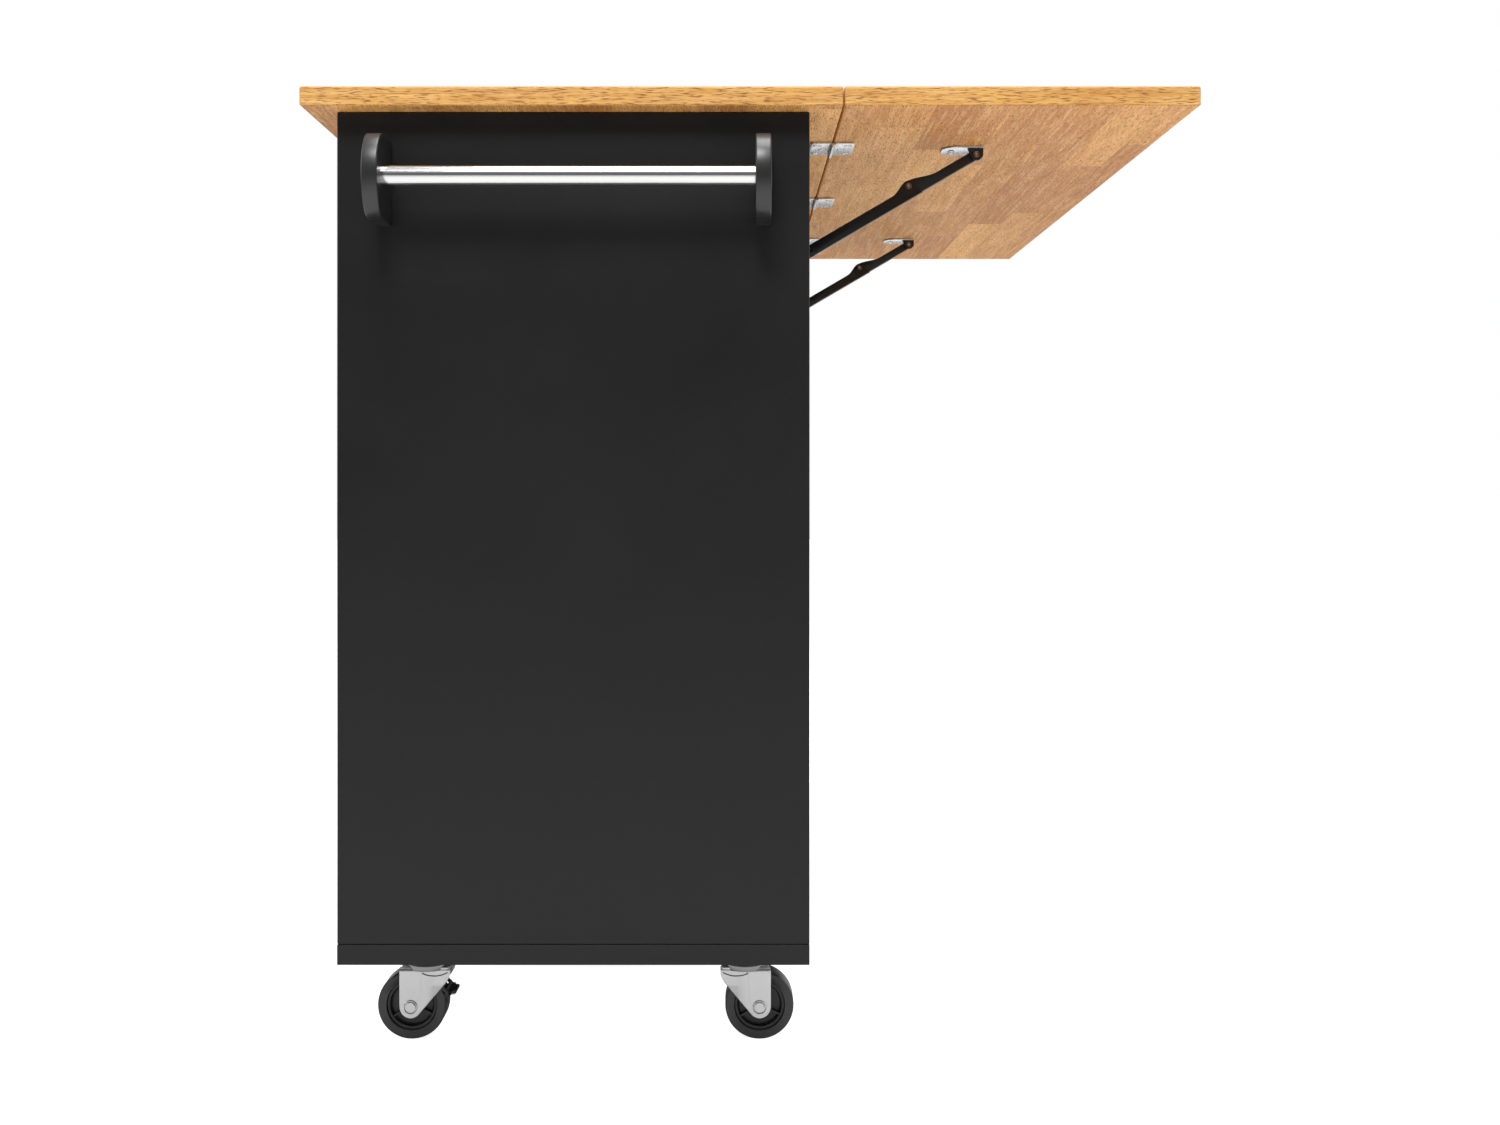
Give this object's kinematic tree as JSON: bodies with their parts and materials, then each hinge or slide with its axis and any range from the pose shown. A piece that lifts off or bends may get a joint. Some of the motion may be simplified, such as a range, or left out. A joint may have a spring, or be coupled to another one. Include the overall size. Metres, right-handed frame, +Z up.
{
  "type": "kitchen island cart",
  "caption": "Rolling kitchen island cart with butcher-block top, fold-down leaf on braces, drawers, doors, towel bar and swivel casters.",
  "frame": {"origin": "centre of the bounding box at floor level, with the leaf raised, drawers and doors closed", "axes": "+X along the length towards the towel bar, +Y towards the drop leaf (doors and drawers face -Y), +Z up"},
  "size_m": [1.0422, 0.83, 0.901],
  "materials": {
    "butcher_block": "satin",
    "black_paint": "satin",
    "drawer_birch": "matte",
    "bright_steel": "polished",
    "black_metal": "satin",
    "zinc_plate": "satin",
    "wheel_rubber": "satin",
    "pedal_plastic": "satin"
  },
  "bodies": {
    "cabinet": {"top_board": "butcher_block", "towel_end_panel": "black_paint", "plain_end_panel": "black_paint", "back_panel": "black_paint", "bottom_board": "black_paint", "drawer_deck": "black_paint", "drawer_divider": "black_paint", "top_rail": "black_paint", "shelf": "black_paint", "shelf_cleat_towel_end": "black_paint", "shelf_cleat_plain_end": "black_paint", "hinge_fixed_1": "bright_steel", "hinge_pin_1": "bright_steel", "hinge_fixed_2": "bright_steel", "hinge_pin_2": "bright_steel", "hinge_fixed_3": "bright_steel", "hinge_pin_3": "bright_steel", "door_towel_end_pin_lower": "bright_steel", "door_towel_end_pin_upper": "bright_steel", "door_plain_end_pin_lower": "bright_steel", "door_plain_end_pin_upper": "bright_steel", "brace_wall_bracket_towel_end": "black_metal", "brace_wall_bracket_plain_end": "black_metal", "towel_bracket_front": "black_metal", "towel_bracket_back": "black_metal", "towel_bar": "bright_steel", "caster_plate_front_towel": "zinc_plate", "caster_plate_back_towel": "zinc_plate", "caster_plate_front_plain": "zinc_plate", "caster_plate_back_plain": "zinc_plate"},
    "leaf": {"leaf_board": "butcher_block", "hinge_leaf_1": "bright_steel", "hinge_leaf_2": "bright_steel", "hinge_leaf_3": "bright_steel", "brace_ear_towel_end": "zinc_plate", "brace_ear_plain_end": "zinc_plate"},
    "lower_arm_towel_end": {"brace_lower_arm_towel_end": "black_metal"},
    "upper_arm_towel_end": {"brace_upper_arm_towel_end": "black_metal"},
    "lower_arm_plain_end": {"brace_lower_arm_plain_end": "black_metal"},
    "upper_arm_plain_end": {"brace_upper_arm_plain_end": "black_metal"},
    "drawer_towel_end": {"drawer_front_towel_end": "black_paint", "drawer_box_towel_end": "drawer_birch"},
    "door_towel_end": {"door_towel_end": "black_paint"},
    "drawer_plain_end": {"drawer_front_plain_end": "black_paint", "drawer_box_plain_end": "drawer_birch"},
    "door_plain_end": {"door_plain_end": "black_paint"},
    "fork_front_towel": {"caster_fork_front_towel": "zinc_plate", "caster_axle_front_towel": "zinc_plate"},
    "wheel_front_towel": {"caster_wheel_front_towel": "wheel_rubber"},
    "pedal_front_towel": {"brake_pedal_front_towel": "pedal_plastic"},
    "fork_back_towel": {"caster_fork_back_towel": "zinc_plate", "caster_axle_back_towel": "zinc_plate"},
    "wheel_back_towel": {"caster_wheel_back_towel": "wheel_rubber"},
    "fork_front_plain": {"caster_fork_front_plain": "zinc_plate", "caster_axle_front_plain": "zinc_plate"},
    "wheel_front_plain": {"caster_wheel_front_plain": "wheel_rubber"},
    "pedal_front_plain": {"brake_pedal_front_plain": "pedal_plastic"},
    "fork_back_plain": {"caster_fork_back_plain": "zinc_plate", "caster_axle_back_plain": "zinc_plate"},
    "wheel_back_plain": {"caster_wheel_back_plain": "wheel_rubber"}
  },
  "joints": [
    {"name": "leaf_fold", "type": "hinge", "parent": "cabinet", "child": "leaf", "pos_m": [-0.02115, 0.0865, 0.88], "axis": [1, 0, 0], "range_deg": [-90, 0]},
    {"name": "lower_arm_turn_towel_end", "type": "hinge", "parent": "cabinet", "child": "lower_arm_towel_end", "pos_m": [0.29885, 0.0648, 0.7754], "axis": [1, 0, 0], "range_deg": [-120.2, 0]},
    {"name": "upper_arm_turn_towel_end", "type": "hinge", "parent": "leaf", "child": "upper_arm_towel_end", "pos_m": [0.29885, 0.236, 0.8755], "axis": [1, 0, 0], "range_deg": [0, 147.7]},
    {"name": "lower_arm_turn_plain_end", "type": "hinge", "parent": "cabinet", "child": "lower_arm_plain_end", "pos_m": [-0.32015, 0.0648, 0.7754], "axis": [1, 0, 0], "range_deg": [-120.2, 0]},
    {"name": "upper_arm_turn_plain_end", "type": "hinge", "parent": "leaf", "child": "upper_arm_plain_end", "pos_m": [-0.32015, 0.236, 0.8755], "axis": [1, 0, 0], "range_deg": [0, 147.7]},
    {"name": "drawer_slide_towel_end", "type": "slide", "parent": "cabinet", "child": "drawer_towel_end", "axis": [0, -1, 0], "range_m": [0, 0.28]},
    {"name": "door_swing_towel_end", "type": "hinge", "parent": "cabinet", "child": "door_towel_end", "pos_m": [0.42785, -0.38, 0.4035], "axis": [0, 0, 1], "range_deg": [0, 100]},
    {"name": "drawer_slide_plain_end", "type": "slide", "parent": "cabinet", "child": "drawer_plain_end", "axis": [0, -1, 0], "range_m": [0, 0.28]},
    {"name": "door_swing_plain_end", "type": "hinge", "parent": "cabinet", "child": "door_plain_end", "pos_m": [-0.47015, -0.38, 0.4035], "axis": [0, 0, -1], "range_deg": [0, 100]},
    {"name": "caster_swivel_front_towel", "type": "hinge", "parent": "cabinet", "child": "fork_front_towel", "pos_m": [0.39585, -0.311, 0.071], "axis": [0, 0, 1], "continuous": true},
    {"name": "wheel_spin_front_towel", "type": "hinge", "parent": "fork_front_towel", "child": "wheel_front_towel", "pos_m": [0.39585, -0.325, 0.033], "axis": [1, 0, 0], "continuous": true},
    {"name": "brake_press_front_towel", "type": "hinge", "parent": "fork_front_towel", "child": "pedal_front_towel", "pos_m": [0.39585, -0.305, 0.06], "axis": [1, 0, 0], "range_deg": [-8, 0]},
    {"name": "caster_swivel_back_towel", "type": "hinge", "parent": "cabinet", "child": "fork_back_towel", "pos_m": [0.39585, -0.004, 0.071], "axis": [0, 0, 1], "continuous": true},
    {"name": "wheel_spin_back_towel", "type": "hinge", "parent": "fork_back_towel", "child": "wheel_back_towel", "pos_m": [0.39585, 0.01, 0.033], "axis": [1, 0, 0], "continuous": true},
    {"name": "caster_swivel_front_plain", "type": "hinge", "parent": "cabinet", "child": "fork_front_plain", "pos_m": [-0.43815, -0.311, 0.071], "axis": [0, 0, 1], "continuous": true},
    {"name": "wheel_spin_front_plain", "type": "hinge", "parent": "fork_front_plain", "child": "wheel_front_plain", "pos_m": [-0.43815, -0.325, 0.033], "axis": [1, 0, 0], "continuous": true},
    {"name": "brake_press_front_plain", "type": "hinge", "parent": "fork_front_plain", "child": "pedal_front_plain", "pos_m": [-0.43815, -0.305, 0.06], "axis": [1, 0, 0], "range_deg": [-8, 0]},
    {"name": "caster_swivel_back_plain", "type": "hinge", "parent": "cabinet", "child": "fork_back_plain", "pos_m": [-0.43815, -0.004, 0.071], "axis": [0, 0, 1], "continuous": true},
    {"name": "wheel_spin_back_plain", "type": "hinge", "parent": "fork_back_plain", "child": "wheel_back_plain", "pos_m": [-0.43815, 0.01, 0.033], "axis": [1, 0, 0], "continuous": true}
  ],
  "couplings": [
    {"joint": "lower_arm_turn_towel_end", "follows": "leaf_fold", "ratio": 1.3349},
    {"joint": "upper_arm_turn_towel_end", "follows": "leaf_fold", "ratio": -1.6405},
    {"joint": "lower_arm_turn_plain_end", "follows": "leaf_fold", "ratio": 1.3349},
    {"joint": "upper_arm_turn_plain_end", "follows": "leaf_fold", "ratio": -1.6405}
  ]
}
